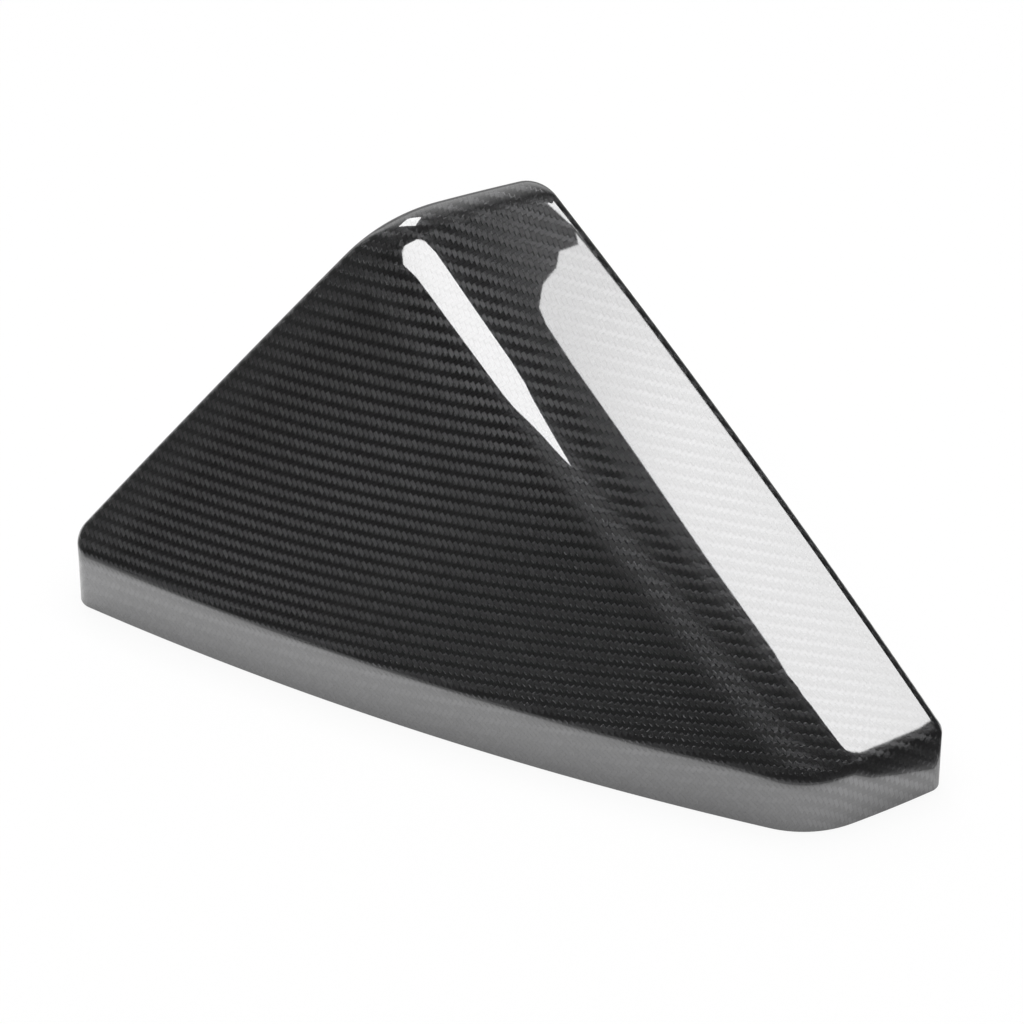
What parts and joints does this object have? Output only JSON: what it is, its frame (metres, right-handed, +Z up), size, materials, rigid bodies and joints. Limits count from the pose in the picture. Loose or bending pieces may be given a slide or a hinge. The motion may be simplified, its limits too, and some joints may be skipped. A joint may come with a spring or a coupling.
{
  "type": "wing mirror cover",
  "caption": "Rounded wedge-shaped wing mirror cover of glossy woven carbon fibre: a hollow shell with a low front skirt, sloping faces joined by a soft ridge, and an open underside.",
  "frame": {"origin": "middle of the bounding box, on the plane of the rim that the cover stands on", "axes": "+Z up from the rim, +X along the long front side towards the low right end, +Y towards the tall back"},
  "size_m": [0.3228, 0.1544, 0.1353],
  "materials": {
    "carbon_fibre": "clear-coated twill-woven carbon fibre, high gloss"
  },
  "bodies": {
    "root": {"mirror_cover_shell": "carbon_fibre"}
  },
  "joints": []
}
